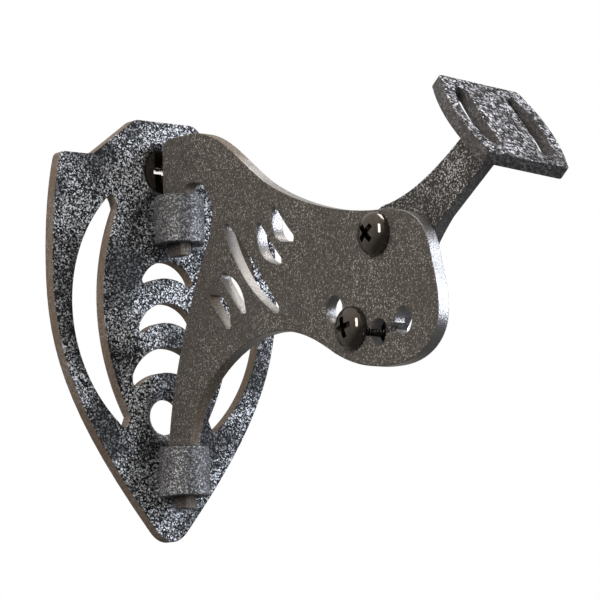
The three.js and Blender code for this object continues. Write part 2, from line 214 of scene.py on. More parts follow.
def sheet_mesh(name, outlines, edge=SOFT_EDGE):
    """Sheet of metal in millimetres about z = 0, outline first and then holes, edges rounded."""
    curve = bpy.data.curves.new(name, "CURVE")
    curve.dimensions = "2D"
    curve.fill_mode = "BOTH"
    curve.extrude = SHEET / 2 - edge
    curve.bevel_depth = edge
    curve.bevel_resolution = 2
    curve.offset = -edge
    for outline in outlines:
        points = thinned(outline)
        spline = curve.splines.new("POLY")
        spline.points.add(len(points) - 1)
        for point, place in zip(spline.points, points):
            point.co = (place.x, place.y, 0.0, 1.0)
        spline.use_cyclic_u = True
    pattern = new_object(name + "_pattern", curve)
    mesh = bpy.data.meshes.new_from_object(pattern)
    bpy.data.objects.remove(pattern)
    bpy.data.curves.remove(curve)
    body = bmesh.new()
    body.from_mesh(mesh)
    bmesh.ops.remove_doubles(body, verts=body.verts, dist=0.002)
    body.to_mesh(mesh)
    body.free()
    mesh.name = name
    return mesh


def mesh_of(name, body):
    """Mesh of a bmesh, which is freed."""
    mesh = bpy.data.meshes.new(name)
    body.to_mesh(mesh)
    body.free()
    return mesh


def turned_mesh(name, profile, count=64, closed=False):
    """Turned piece about Z in millimetres: profile is (radius, height) points."""
    body = bmesh.new()
    rings = []
    angles = [2 * math.pi * i / count for i in range(count)]
    for radius, height in profile:
        spots = [(radius * math.cos(a), radius * math.sin(a), height) for a in angles]
        if radius < 1e-6:
            spots = [(0, 0, height)]
        rings.append([body.verts.new(spot) for spot in spots])
    pairs = list(zip(rings, rings[1:]))
    if closed:
        pairs.append((rings[-1], rings[0]))
    for low, high in pairs:
        for i in range(count):
            j = (i + 1) % count
            corners = [low[i % len(low)], low[j % len(low)], high[j % len(high)], high[i % len(high)]]
            unique = list(dict.fromkeys(corners))
            if len(unique) > 2:
                body.faces.new(unique)
    bmesh.ops.recalc_face_normals(body, faces=body.faces)
    return mesh_of(name, body)


def merged(name, *meshes):
    """Several meshes as one."""
    body = bmesh.new()
    for mesh in meshes:
        body.from_mesh(mesh)
    return mesh_of(name, body)


def finished(name, mesh, place, material, body, nodes, sharp=35):
    """Puts a mesh drawn in millimetres at its place, shades it and ties it to the frame."""
    mesh.transform(Matrix.Scale(MM, 4) @ place)
    mesh.shade_smooth()
    mesh.set_sharp_from_angle(angle=math.radians(sharp))
    mesh.materials.clear()
    mesh.materials.append(material)
    piece = new_object(name, mesh)
    even = piece.modifiers.new("even_normals", "WEIGHTED_NORMAL")
    even.keep_sharp = True
    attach(piece, body)
    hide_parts(*nodes)
    return piece


CLOUD_MM = 20
SHINE_FADE = 0.01


def vein_coat(name, fleck_mm, rarity, dark, silver, sheet_way, painted_rim_tone, rim_flecks, rim_metal,
              clouding, relief, shine_at=(0.0, 0.0, 0.0), shine_reach=10.0):
    """Textured silver-vein powder coat: black resin full of metal flakes of every brightness.

    Flakes are drawn coarser than the real ones. A high rarity leaves few bright.
    The cut rim, which runs across sheet_way, gets a painted tone of its own: warm tan where
    it would catch the light, darker where it would lie in shade; its flecks are thinned by
    rim_flecks. Within the given reach of the given centre the rim is mixed toward pale metal
    grey and made metallic by rim_metal, a painted highlight rather than wear. Relief is in flake sizes.
    """
    material, tree, shader = blank_finish(name)
    spot = add_node(tree, "ShaderNodeTexCoord")
    place = spot.outputs["Object"]
    flakes = add_node(tree, "ShaderNodeTexVoronoi", {"Vector": place, "Scale": 1 / (fleck_mm * MM)})
    chance = add_node(tree, "ShaderNodeSeparateColor", {"Color": flakes.outputs["Color"]})
    grain = add_node(tree, "ShaderNodeTexNoise", {
        "Vector": place, "Scale": 1 / (2 * fleck_mm * MM), "Detail": 3.0, "Roughness": 0.65})
    clouds = add_node(tree, "ShaderNodeTexNoise", {
        "Vector": place, "Scale": 1 / (CLOUD_MM * MM), "Detail": 3.0, "Roughness": 0.5})
    shift = add_node(tree, "ShaderNodeMapRange", {
        "Value": clouds.outputs["Fac"], "From Min": 0.38, "From Max": 0.62,
        "To Min": 1 - clouding, "To Max": 1 + clouding})
    level = add_node(tree, "ShaderNodeMath", {0: chance.outputs["Red"], 1: shift.outputs["Result"]},
                     operation="MULTIPLY", use_clamp=True)
    flecks = add_node(tree, "ShaderNodeMath", {0: level.outputs["Value"], 1: rarity},
                      operation="POWER")
    along = add_node(tree, "ShaderNodeVectorMath", {0: spot.outputs["Normal"], 1: sheet_way},
                     operation="DOT_PRODUCT")
    size = add_node(tree, "ShaderNodeMath", {0: along.outputs["Value"]}, operation="ABSOLUTE")
    rim = add_node(tree, "ShaderNodeMapRange", {
        "Value": size.outputs["Value"], "From Min": 0.75, "From Max": 0.45})
    # Painted rim tone: the cut edges are coloured warm tan where they would catch the light and darker where
    # they would lie in shade.
    base = add_node(tree, "ShaderNodeMix", {
        0: rim.outputs["Result"], 6: hex_colour(dark), 7: hex_colour(painted_rim_tone)}, data_type="RGBA")
    soot = add_node(tree, "ShaderNodeMapRange", {
        "Value": grain.outputs["Fac"], "From Min": 0.35, "From Max": 0.6,
        "To Min": 0.6, "To Max": 1.1})
    mottled = add_node(tree, "ShaderNodeVectorMath", {
        0: base.outputs[2], "Scale": soot.outputs["Result"]}, operation="SCALE")
    thin = add_node(tree, "ShaderNodeMapRange", {
        "Value": rim.outputs["Result"], "To Min": 1.0, "To Max": rim_flecks})
    share = add_node(tree, "ShaderNodeMath", {0: flecks.outputs["Value"], 1: thin.outputs["Result"]},
                     operation="MULTIPLY")
    colour = add_node(tree, "ShaderNodeMix", {
        0: share.outputs["Value"], 6: mottled.outputs["Vector"], 7: hex_colour(silver)},
        data_type="RGBA")
    # Painted highlight: near the given centre the rims are mixed toward pale metal grey and made metallic.
    # This stands in for the front panel's reflection on the arm's nose, not for wear. With the default reach
    # it covers every rim of the part, in the amount rim_metal.
    away = add_node(tree, "ShaderNodeVectorMath", {0: place, 1: shine_at}, operation="DISTANCE")
    rim_shine = add_node(tree, "ShaderNodeMapRange", {
        "Value": away.outputs["Value"], "From Min": shine_reach, "From Max": shine_reach - SHINE_FADE,
        "To Max": rim_metal})
    shiny_rim = add_node(tree, "ShaderNodeMath", {
        0: rim.outputs["Result"], 1: rim_shine.outputs["Result"]}, operation="MULTIPLY")
    sheened = add_node(tree, "ShaderNodeMix", {
        0: shiny_rim.outputs["Value"], 6: colour.outputs[2], 7: hex_colour("B0B0B2")}, data_type="RGBA")
    tree.links.new(sheened.outputs[2], shader.inputs["Base Color"])
    metal = add_node(tree, "ShaderNodeMath", {
        0: share.outputs["Value"], 1: 0.2, 2: shiny_rim.outputs["Value"]},
        operation="MULTIPLY_ADD", use_clamp=True)
    tree.links.new(metal.outputs["Value"], shader.inputs["Metallic"])
    gloss = add_node(tree, "ShaderNodeMapRange", {
        "Value": metal.outputs["Value"], "From Max": 0.5, "To Min": 0.5, "To Max": 0.3})
    tree.links.new(gloss.outputs["Result"], shader.inputs["Roughness"])
    shader.inputs["Specular IOR Level"].default_value = 0.18
    lumps = add_node(tree, "ShaderNodeBump", {
        "Height": grain.outputs["Fac"], "Strength": 1.0, "Distance": relief * fleck_mm * MM})
    tree.links.new(lumps.outputs["Normal"], shader.inputs["Normal"])
    return material


WALL_WAY = (0.0, 1.0, 0.0)
# Every part wears its own copy of the same silver-vein coat. The copies differ in base tone, fleck share and
# tint, painted to stand in for how each face takes the light. The plate's copy has a near-black base with
# bright bluish flecks.
plate_coat = vein_coat(
    "silver_vein_powder_coat_on_plate", fleck_mm=0.4, rarity=4.4, dark="030508", silver="F2F8FF",
    sheet_way=WALL_WAY, painted_rim_tone="76634F", rim_flecks=0.2, rim_metal=0.1, clouding=0.24, relief=0.8)

PLATE_TOP = 51.6
PLATE_TIP = -73.9
HALF_WIDTH = 40.9
half_shield = drawn(
    (9, PLATE_TOP),
    [(10.8, PLATE_TOP), (12.2, 50.4)],
    [(24.6, 41)],
    [(26.4, 39.8), (28.6, 39.8)],
    [(35.6, 39.8)],
    [(37.6, 39.8), (38, 37.6)],
    [(40.2, 28), (HALF_WIDTH, 17), (HALF_WIDTH, 7)],
    [(HALF_WIDTH, -17), (35.9, -35), (5.6, -70.8)],
    [(3, PLATE_TIP), (0, PLATE_TIP)],
)
shield = half_shield + mirrored(half_shield)

crescent = (
    arc((-11.5, -4.7), 45.6, 43.6, -49.4, 40)
    + drawn((18.18, -39.32), [(15.8, -42.8), (14.2, -37.3)])
    + arc((-46.4, -3.1), 69.6, -29.4, 23.2, 40)
    + drawn((17.57, 24.32), [(19, 30.6), (21.5, 26.7)])
)


def arch(top, half, foot, inner_top, inner_half, inner_foot, tip):
    """Arched opening between two arcs that are centred on the middle line."""
    sides = []
    for crown, side, base in ((top, half, foot), (inner_top, inner_half, inner_foot)):
        radius = (side ** 2 + (crown - base) ** 2) / (2 * (crown - base))
        middle = crown - radius
        angle = math.degrees(math.atan2(base - middle, side))
        sides.append(arc((0, middle), radius, angle, 180 - angle))
    outer, inner = sides
    left = drawn((-half, foot), [(-tip[0], tip[1]), (-inner_half, inner_foot)])
    right = drawn((inner_half, inner_foot), [tip, (half, foot)])
    return outer + left + inner[::-1] + right


ARCHES = (
    (9.5, 9, 3.9, 4.5, 6.8, 2.8, (9.3, 2)),
    (-3, 10.4, -10.4, -8.8, 8.3, -11.8, (10.9, -13.2)),
    (-16.3, 13, -25, -23.7, 10.6, -28, (13.6, -29.4)),
)
SCREW_HOLE_Z = 36.8
SINK_R = 8.2
BORE_R = 5.2
flat_back = Matrix.Translation((0, -SHEET / 2, 0)) @ Matrix.Rotation(math.pi / 2, 4, "X")


def countersink(height):
    """Lining of one screw hole: a cone from the front face down to a straight bore."""
    half = SHEET / 2
    lining = turned_mesh("sink", [
        (SINK_R + 0.25, half - 0.02), (SINK_R - 0.1, half - 0.12), (BORE_R + 0.1, -half + 1.15),
        (BORE_R, -half + 1.0), (BORE_R, -half + 0.3), (BORE_R + 0.1, -half + 0.1),
        (BORE_R + 0.4, -half), (SINK_R + 0.25, -half)], closed=True)
    lining.transform(Matrix.Translation((0, height, 0)))
    return lining


plate_holes = [crescent, mirrored(crescent)] + [arch(*sizes) for sizes in ARCHES]
plate_holes += [arc((0, side * SCREW_HOLE_Z), SINK_R, 0, 360, 72) for side in (1, -1)]
plate_mesh = merged("wall_plate_body", sheet_mesh("plate_sheet", [shield] + plate_holes),
                    countersink(SCREW_HOLE_Z), countersink(-SCREW_HOLE_Z))
finished("shield_wall_plate", plate_mesh, flat_back, plate_coat, "base", ["wall_plate"])

# ---- hinge barrels and their weld beads ---------------------------------------------------
# Two short pieces of thick steel tube, one side ground flat and welded to the plate's middle
# line. The arm's pins drop into them. The beads down both sides are lumpy under the coat.
BARREL_R = 7.4
BARREL_BORE_R = 4.0
BARREL_LENGTH = 14.4
HINGE_OUT = 10.6
UPPER_BARREL_Z = 13.7
LOWER_BARREL_Z = -61.1
# The barrels' copy of the coat has lighter, denser flecks: painted lightness for how the round tubes catch
# the light.
barrel_coat = vein_coat(
    "silver_vein_powder_coat_on_barrels", fleck_mm=0.38, rarity=3.8, dark="101114", silver="CDD1D8",
    sheet_way=(0, 0, 1), painted_rim_tone="101114", rim_flecks=1.0, rim_metal=0.15, clouding=0.1, relief=0.6)


def barrel_mesh(name):
    """Tube with rounded rims, its back cut to a flat seat."""
    rim = 0.5
    outer, inner, top = BARREL_R, BARREL_BORE_R, BARREL_LENGTH
    mesh = turned_mesh(name, [
        (inner, rim), (inner + 0.15, 0.15), (inner + rim, 0), (outer - rim, 0), (outer - 0.15, 0.15),
        (outer, rim), (outer, top - rim), (outer - 0.15, top - 0.15), (outer - rim, top),
        (inner + rim, top), (inner + 0.15, top - 0.15), (inner, top - rim)], 96, True)
    body = bmesh.new()
    body.from_mesh(mesh)
    seat = HINGE_OUT - SHEET - 0.1
    everything = body.verts[:] + body.edges[:] + body.faces[:]
    bmesh.ops.bisect_plane(body, geom=everything, plane_co=(0, seat, 0), plane_no=(0, 1, 0),
                           clear_outer=True)
    bmesh.ops.holes_fill(body, edges=[e for e in body.edges if e.is_boundary])
    body.to_mesh(mesh)
    body.free()
    return mesh


def lofted(name, rows):
    """Closed skin over rows of points, all rows equally long."""
    body = bmesh.new()
    loops = [[body.verts.new(point) for point in row] for row in rows]
    for low, high in zip(loops, loops[1:]):
        for j in range(len(low)):
            k = (j + 1) % len(low)
            body.faces.new((low[j], low[k], high[k], high[j]))
    body.faces.new(loops[0])
    body.faces.new(loops[-1])
    bmesh.ops.recalc_face_normals(body, faces=body.faces)
    return mesh_of(name, body)


def tapered(i, steps):
    """Thickness of a bead at step i: full in the middle, thin at both ends."""
    return math.sin(math.pi * min(1.0, 6.0 * min(i, steps - i) / steps) / 2)


def bead_mesh(name, side, seed):
    """Fillet bead in the corner between barrel and plate, rippled where the torch moved on."""
    rows = []
    steps = 44
    start = math.asin((HINGE_OUT - SHEET) / BARREL_R)
    for i in range(steps + 1):
        height = 0.5 + (BARREL_LENGTH - 1.0) * i / steps
        taper = tapered(i, steps)
        lump = noise.noise(Vector((seed, height * 0.6, 0)))
        swell = 1 + 0.16 * math.sin(height * 4.2 + seed) + 0.2 * lump
        foot = BARREL_R * math.cos(start) + 0.3 + 3.0 * swell * (0.35 + 0.65 * taper)
        climb = start - math.radians(24) * swell * (0.35 + 0.65 * taper)
        high = Vector((BARREL_R * math.cos(climb), BARREL_R * math.sin(climb) - HINGE_OUT))
        low = Vector((min(foot, 7.5), -SHEET + 0.05))
        root = Vector((BARREL_R * math.cos(start) - 0.6, -SHEET + 0.05))
        belly = (high + low) / 2 + 0.25 * Vector((1, -1)) * taper
        row = [root, high, high.lerp(belly, 0.6), belly, low.lerp(belly, 0.6), low]
        rows.append([(side * p.x, p.y, height) for p in row])
    return lofted(name, rows)


for label, bottom in (("upper", UPPER_BARREL_Z), ("lower", LOWER_BARREL_Z)):
    seated = Matrix.Translation((0, -HINGE_OUT, bottom))
    finished(f"{label}_hinge_barrel", barrel_mesh(label), seated, barrel_coat, "base",
             [f"{label}_barrel"])
    for side, word in ((-1, "left"), (1, "right")):
        finished(f"{label}_bead_{word}", bead_mesh(word, side, bottom + side),
                 Matrix.Translation((0, 0, bottom)), barrel_coat, "base", [f"{label}_weld_{word}"],
                 60)

# ---- screws -------------------------------------------------------------------------------
# Steel screws, cold-headed with a cross recess and rolled threads, then black and glossy.
# One countersunk wood screw holds the plate; two M6 pan heads clamp the neck bracket.
WOOD_LENGTH = 34.0
WOOD_PITCH = 2.2
WOOD_HEAD_Z = 3.3


def black_finish():
    """Black nickel plate: a dark mirror, warm where it catches the room."""
    material, tree, shader = blank_finish("glossy_black_nickel_plate")
    place = add_node(tree, "ShaderNodeTexCoord").outputs["Object"]
    haze = add_node(tree, "ShaderNodeTexNoise", {
        "Vector": place, "Scale": 1 / (1.2 * MM), "Detail": 4.0})
    tone = add_node(tree, "ShaderNodeMix", {
        0: haze.outputs["Fac"], 6: hex_colour("5C5652"), 7: hex_colour("7C7671")}, data_type="RGBA")
    tree.links.new(tone.outputs[2], shader.inputs["Base Color"])
    gloss = add_node(tree, "ShaderNodeMapRange", {
        "Value": haze.outputs["Fac"], "To Min": 0.06, "To Max": 0.16})
    tree.links.new(gloss.outputs["Result"], shader.inputs["Roughness"])
    shader.inputs["Metallic"].default_value = 1.0
    dents = add_node(tree, "ShaderNodeBump", {
        "Height": haze.outputs["Fac"], "Strength": 0.15, "Distance": 0.05 * MM})
    tree.links.new(dents.outputs["Normal"], shader.inputs["Normal"])
    return material


black_screw = black_finish()


def threaded_rod(name, radius, bottom, top, pitch, depth, point=0.0):
    """Rolled thread as ripples wound round a rod, ending in a chamfer or a point."""
    around = 36
    rows = []
    steps = int((top - bottom) / pitch * 8)
    for i in range(steps + 1):
        height = bottom + (top - bottom) * i / steps
        chamfer = min(1.0, 0.72 + 0.28 * (height - bottom) / (0.6 * pitch))
        taper = min(1.0, (height - bottom) / point) if point else chamfer
        ring = []
        for j in range(around):
            phase = (height / pitch - j / around) % 1.0
            crest = 1 - abs(2 * phase - 1)
            r = max(0.15, radius * taper - depth * (1 - min(1.0, 1.25 * crest)))
            angle = 2 * math.pi * j / around
            ring.append((r * math.cos(angle), r * math.sin(angle), height))
        rows.append(ring)
    return lofted(name, rows)


def cross_cutter(name, height, depth, span, width):
    """Tapered cross, the shape of the driver's tip."""
    rows = []
    mouth = (height + 1, span / 2 + 0.2, width / 2 + 0.08)
    tip = (height - depth, span / 2 - 1.5, width / 2 - 0.2)
    for level, s, w in (mouth, tip):
        corners = [(s, -w), (s, w), (w, w), (w, s), (-w, s), (-w, w), (-s, w), (-s, -w), (-w, -w),
                   (-w, -s), (w, -s), (w, -w)]
        rows.append([(x, y, level) for x, y in corners])
    return lofted(name, rows)


def carved(name, block, tool, operation="DIFFERENCE"):
    """Mesh of block with tool taken out of it, or with INTERSECT what both share."""
    stock = new_object(name + "_stock", block)
    cutter = new_object(name + "_cutter", tool)
    step = stock.modifiers.new("carve", "BOOLEAN")
    step.operation = operation
    step.solver = "EXACT"
    step.object = cutter
    bpy.context.view_layer.update()
    shaped = stock.evaluated_get(bpy.context.evaluated_depsgraph_get())
    mesh = bpy.data.meshes.new_from_object(shaped)
    mesh.name = name
    for helper in (stock, cutter):
        bpy.data.objects.remove(helper)
    return mesh


wood_head = turned_mesh("wood_head", [
    (0, -1.5), (2.6, -1.5), (3.1, -0.6), (6.6, 2.8), (6.72, 3.0), (6.6, 3.2), (5.8, 3.28),
    (0, WOOD_HEAD_Z)])
wood_driver = cross_cutter("driver", WOOD_HEAD_Z, depth=2.9, span=8.0, width=1.9)
wood_thread = threaded_rod("wood_thread", radius=2.6, bottom=-WOOD_LENGTH, top=-1.2, pitch=WOOD_PITCH,
                           depth=0.75, point=7.0)
wood_screw = merged("wood_screw", carved("wood_head", wood_head, wood_driver), wood_thread)
into_wall = Matrix.Translation((0, 0, SCREW_HOLE_Z)) @ Matrix.Rotation(math.pi / 2, 4, "X")
finished("wall_screw_black", wood_screw, into_wall, black_screw, "base", ["wall_screw"], 40)

# ---- swing arm ----------------------------------------------------------------------------
# Laser-cut 4 mm sheet. Two hooks at the wall end finish in flat pins that hang in the
# barrels; gill-like slits lighten it, and four joined holes at the nose set the bracket.
ARM_WAY = (1, 0, 0)
# The arm's copy of the coat has a lighter brown-grey painted base with few flecks, standing in for how its
# side face takes the light.
arm_coat = vein_coat(
    "silver_vein_powder_coat_on_arm", fleck_mm=0.28, rarity=13.0, dark="5A5652", silver="BEBBB6",
    sheet_way=ARM_WAY, painted_rim_tone="6E6458", rim_flecks=0.9, rim_metal=0.8, clouding=0.04, relief=0.45,
    shine_at=(0.0, -0.09, 0.0), shine_reach=0.062)

PIN_HALF = 3.0
PIN_STANDOUT = 3.4
PIN_GAP = 0.3
PIVOT = Vector((105.0, 3.6))
INDEX_R = 27.0
INDEX_STEP = 23.0
LOCK_ANGLE = -24.0
INDEX_HOLE_R = 3.7
LINK_HALF = 1.1
CLEAR_R = 3.3
upper_shoulder = UPPER_BARREL_Z + BARREL_LENGTH + PIN_GAP
lower_shoulder = LOWER_BARREL_Z + BARREL_LENGTH + PIN_GAP
pin_in = HINGE_OUT - PIN_HALF
pin_out = HINGE_OUT + PIN_HALF
upper_pin_end = UPPER_BARREL_Z - PIN_STANDOUT
lower_pin_end = LOWER_BARREL_Z - PIN_STANDOUT
arm_outline = drawn(
    (5.3, upper_shoulder),
    [(5.3, 42.4)],
    [(5.5, 45.6), (9, 45.7)],
    [(19, 45.5)],
    [(33, 45.2), (41, 35), (54, 26.4)],
    [(68, 17.8), (88, 11.6), (106, 10.3)],
    [(118, 9.6), (125.6, 6), (127.3, -4)],
    [(128.6, -10), (130.1, -13), (130.1, -19.4)],
    [(130.1, -28), (122, -33.1), (111, -33.1)],
    [(99, -33.1), (92, -30.6), (85, -27.1)],
    [(78, -23), (69, -17.9), (57, -17.9)],
    [(40, -17.9), (18, -30), (16, lower_shoulder)],
    [(pin_out, lower_shoulder)],
    [(pin_out, lower_pin_end)],
    [(pin_in, lower_pin_end)],
    [(pin_in, lower_shoulder)],
    [(5.6, lower_shoulder)],
    [(7.4, -28), (15, -12), (19.9, -1)],
    [(24, 8), (29.4, 14), (29.4, 20.5)],
    [(29.4, 26), (25.6, 30.7), (19.6, 30.7)],
    [(16, 30.7), (16, upper_shoulder)],
    [(pin_out, upper_shoulder)],
    [(pin_out, upper_pin_end)],
    [(pin_in, upper_pin_end)],
    [(pin_in, upper_shoulder)],
)


def gill(start, end, bow_low, bow_high):
    """Slit between two ends with long sides bowed by different amounts."""
    a, b = Vector(start), Vector(end)
    reach = 1.15
    along = (b - a).normalized()
    low = Vector((along.y, -along.x))
    middle = (a + b) / 2
    return drawn(
        a + reach * low,
        [middle + (2 * bow_low - reach) * low, b + reach * low],
        [b + 2 * reach * along, b - reach * low],
        [middle - (2 * bow_high - reach) * low, a - reach * low],
        [a - 2 * reach * along, a + reach * low],
    )


GILLS = (
    ((36.2, 15.1), (59.3, -11.7), 4.2, 1.9),
    ((51.6, 13.2), (60.9, 2.1), 4.3, 0.9),
    ((59.1, 16.7), (66.8, 7.8), 4.6, 0.9),
    ((34.2, 1), (43.6, -10), 1.3, 3.2),
    ((28.5, -4.7), (36.2, -13.5), 1.1, 3.9),
)


def about_pivot(angle, radius=INDEX_R):
    """Point at an angle from straight down below the pivot."""
    a = math.radians(angle - 90)
    return PIVOT + radius * Vector((math.cos(a), math.sin(a)))


def round_end(centre, start, end):
    """Points of the circle arc from start to end, anticlockwise about centre."""
    first = math.degrees(math.atan2(*(start - centre).yx))
    last = math.degrees(math.atan2(*(end - centre).yx))
    if last < first:
        last += 360
    return arc(centre, (start - centre).length, first, last, 20)


def index_opening():
    """Outline of the lock holes together with the narrow slot that joins them."""
    angles = [LOCK_ANGLE + k * INDEX_STEP for k in (-1, 0, 1, 2)]
    outer, inner = INDEX_R + LINK_HALF, INDEX_R - LINK_HALF
    gaps = {}
    for radius in (outer, inner):
        cosine = (INDEX_R ** 2 + radius ** 2 - INDEX_HOLE_R ** 2) / (2 * INDEX_R * radius)
        gaps[radius] = math.degrees(math.acos(cosine))
    points = []
    for angle in angles[1:-1]:
        ends = [about_pivot(angle + side * gaps[outer], outer) for side in (-1, 1)]
        points += round_end(about_pivot(angle), *ends)
    last = angles[-1]
    points += round_end(about_pivot(last), about_pivot(last - gaps[outer], outer),
                        about_pivot(last - gaps[inner], inner))
    for angle in angles[-2:0:-1]:
        ends = [about_pivot(angle + side * gaps[inner], inner) for side in (1, -1)]
        points += round_end(about_pivot(angle), *ends)
    first = angles[0]
    points += round_end(about_pivot(first), about_pivot(first + gaps[inner], inner),
                        about_pivot(first + gaps[outer], outer))
    return points


def beside_arm(middle):
    """Place of a sheet drawn as (out from the wall, up) that stands square to the wall."""
    columns = Matrix(((0, 0, -1), (-1, 0, 0), (0, 1, 0))).to_4x4()
    return Matrix.Translation((middle, 0, 0)) @ columns


arm_holes = [gill(*sizes) for sizes in GILLS] + [index_opening(), arc(PIVOT, CLEAR_R, 0, 360, 48)]
arm_mesh = sheet_mesh("swing_arm_sheet", [arm_outline] + arm_holes)
finished("swing_arm_sheet", arm_mesh, beside_arm(0.0), arm_coat, "arm", ["swing_arm"])

# ---- neck bracket -------------------------------------------------------------------------
# Laser-cut 4 mm sheet bolted flat against the arm. It turns on the upper screw, and the
# lower screw clamps it anywhere along a short curved slot.
GAP = 0.3
BRACKET_MIDDLE = SHEET / 2 + GAP + SHEET / 2
HEAD_DIP = math.radians(49)
HEAD_SKEW = math.radians(3)
HEAD_OUT = 152.0
HEAD_Z = 27.8
FINE_ANGLE = 11.5
WELD_SINK = 0.05
# The bracket's copy of the coat has a mid-grey painted base, standing in for how its face takes the light.
neck_coat = vein_coat(
    "silver_vein_powder_coat_on_bracket", fleck_mm=0.34, rarity=8.0, dark="3E3B37", silver="D4D6DA",
    sheet_way=ARM_WAY, painted_rim_tone="2A2521", rim_flecks=1.0, rim_metal=0.35, clouding=0.08, relief=0.7)


def under_head(slope, lift):
    """Point by the strap plate: slope runs down its face, lift away from it."""
    dip_cos, dip_sin = math.cos(HEAD_DIP), math.sin(HEAD_DIP)
    out = HEAD_OUT + dip_cos * slope + dip_sin * lift
    return Vector((out, HEAD_Z - dip_sin * slope + dip_cos * lift))


neck_outline = drawn(
    (98.4, 9.4),
    [(100.6, 12.4), (105, 12.4)],
    [(120, 14.4), (133, 23.4), under_head(-7.4, -SHEET - WELD_SINK)],
    [under_head(4.6, -SHEET - WELD_SINK)],
    [(128.3, 5.6)],
    [(117.4, -4), (115, -12), (109, -20.3)],
    [(102.6, -29.2), (91, -33.5), (84.9, -23.4)],
    [(81.4, -17), (92.6, -6), (96.1, 3.6)],
    [(97, 7), (98.4, 9.4)],
)


def tilt_slot():
    """Curved slot about the pivot with round ends."""
    start, end = LOCK_ANGLE - FINE_ANGLE, LOCK_ANGLE + FINE_ANGLE
    outer = [about_pivot(start + (end - start) * i / 20, INDEX_R + CLEAR_R) for i in range(21)]
    inner = [about_pivot(end + (start - end) * i / 20, INDEX_R - CLEAR_R) for i in range(21)]
    return (outer + round_end(about_pivot(end), outer[-1], inner[0])
            + inner + round_end(about_pivot(start), inner[-1], outer[0]))


neck_holes = [arc(PIVOT, CLEAR_R, 0, 360, 48), tilt_slot()]
neck_mesh = sheet_mesh("neck_bracket_sheet", [neck_outline] + neck_holes)
finished("neck_bracket_sheet", neck_mesh, beside_arm(BRACKET_MIDDLE), neck_coat, "bracket",
         ["neck_bracket"])

# ---- strap plate --------------------------------------------------------------------------
# Small flat plate with bulged sides, of the same sheet, welded across the end of the neck a little askew.
# Two curved slots take the strap. Its copy of the coat has coarser flecks and deeper relief, and brighter
# flecks painted in for how its tilted face catches the light.
skew = Matrix.Rotation(HEAD_SKEW, 4, "Y") @ Matrix.Rotation(-HEAD_SKEW, 4, "Z")
head_turn = Matrix.Rotation(HEAD_DIP, 4, "X") @ skew
on_head = Matrix.Translation((BRACKET_MIDDLE, -HEAD_OUT, HEAD_Z)) @ head_turn
HEAD_ACROSS = 14.3
HEAD_ALONG = 16.3
HEAD_BULGE = 17.0
HEAD_CORNER = 1.6
SLOT_END = 10.9
SLOT_TIP = 13.3
head_way = tuple(head_turn @ Vector((0, 0, 1)))[:3]
# The strap plate's copy of the coat has a near-black base with coarse bright flecks, painted for how its
# tilted face catches the light.
head_coat = vein_coat(
    "silver_vein_powder_coat_on_strap_plate", fleck_mm=0.6, rarity=3.4, dark="0B0A0E", silver="E6E8F2",
    sheet_way=head_way, painted_rim_tone="2A221D", rim_flecks=0.2, rim_metal=0.2, clouding=0.14, relief=2.2)

head_side = drawn(
    (HEAD_ACROSS - HEAD_CORNER, HEAD_ALONG),
    [(HEAD_ACROSS, HEAD_ALONG), (HEAD_ACROSS + 0.2, HEAD_ALONG - HEAD_CORNER)],
    [(2 * HEAD_BULGE - HEAD_ACROSS - 0.2, 0), (HEAD_ACROSS + 0.2, HEAD_CORNER - HEAD_ALONG)],
    [(HEAD_ACROSS, -HEAD_ALONG), (HEAD_ACROSS - HEAD_CORNER, -HEAD_ALONG)],
)
strap_slot = drawn(
    (11.2, -SLOT_END),
    [(16, 0), (11.2, SLOT_END)],
    [(9.2, SLOT_TIP), (6.8, SLOT_END)],
    [(8.2, 0), (6.8, -SLOT_END)],
    [(9.2, -SLOT_TIP), (11.2, -SLOT_END)],
)
head_outline = head_side + mirrored(head_side)
head_mesh = sheet_mesh("strap_plate_sheet", [head_outline, strap_slot, mirrored(strap_slot)])
finished("strap_plate_sheet", head_mesh, on_head @ Matrix.Translation((0, 0, -SHEET / 2)), head_coat,
         "bracket", ["head_plate"])


def neck_bead_mesh(name, side, seed):
    """Fillet bead between the neck's side and the underside of the strap plate."""
    rows = []
    steps = 36
    for i in range(steps + 1):
        along = -3.8 + 10.4 * i / steps
        taper = tapered(i, steps)
        lump = noise.noise(Vector((seed, along * 0.6, 0)))
        swell = 1 + 0.12 * math.sin(along * 4.6 + seed) + 0.2 * lump
        leg = min(2.9, 2.4 * swell * (0.4 + 0.6 * taper))
        corner = (SHEET / 2 - 0.1, -SHEET + 0.1)
        row = [corner, (SHEET / 2 + 0.4 + leg, corner[1]), (SHEET / 2 + 0.62 * leg, corner[1] - 0.5 * leg),
               (SHEET / 2 + 0.3 * leg, corner[1] - 0.75 * leg), (corner[0], corner[1] - leg - 0.4)]
        rows.append([(side * x, along, z) for x, z in row])
    return lofted(name, rows)


for side, word in ((-1, "left"), (1, "right")):
    finished(f"neck_bead_{word}", neck_bead_mesh(word, side, 3.0 * side), on_head, neck_coat, "bracket",
             [f"head_weld_{word}"], 60)

# ---- clamp fasteners ----------------------------------------------------------------------
# Each M6 pan-head screw passes arm and bracket and takes a zinc-plated washer and a lock nut
# whose nylon ring shows inside its collar.
HEAD_R = 6.0
HEAD_H = 4.1
SHANK_R = 2.95
PITCH = 1.0
SCREW_LENGTH = 18.0
WASHER_R = 6.2
WASHER_H = 1.5
dome = drawn((HEAD_R, 1.1), [(HEAD_R - 0.2, 2.9), (3.4, HEAD_H), (0, HEAD_H)])
pan_profile = [(0, -0.6), (2.9, -0.6), (2.9, 0), (HEAD_R - 0.35, 0), (HEAD_R - 0.08, 0.15), (HEAD_R, 0.45)]
pan_profile += [(max(p.x, 0.0), p.y) for p in dome]


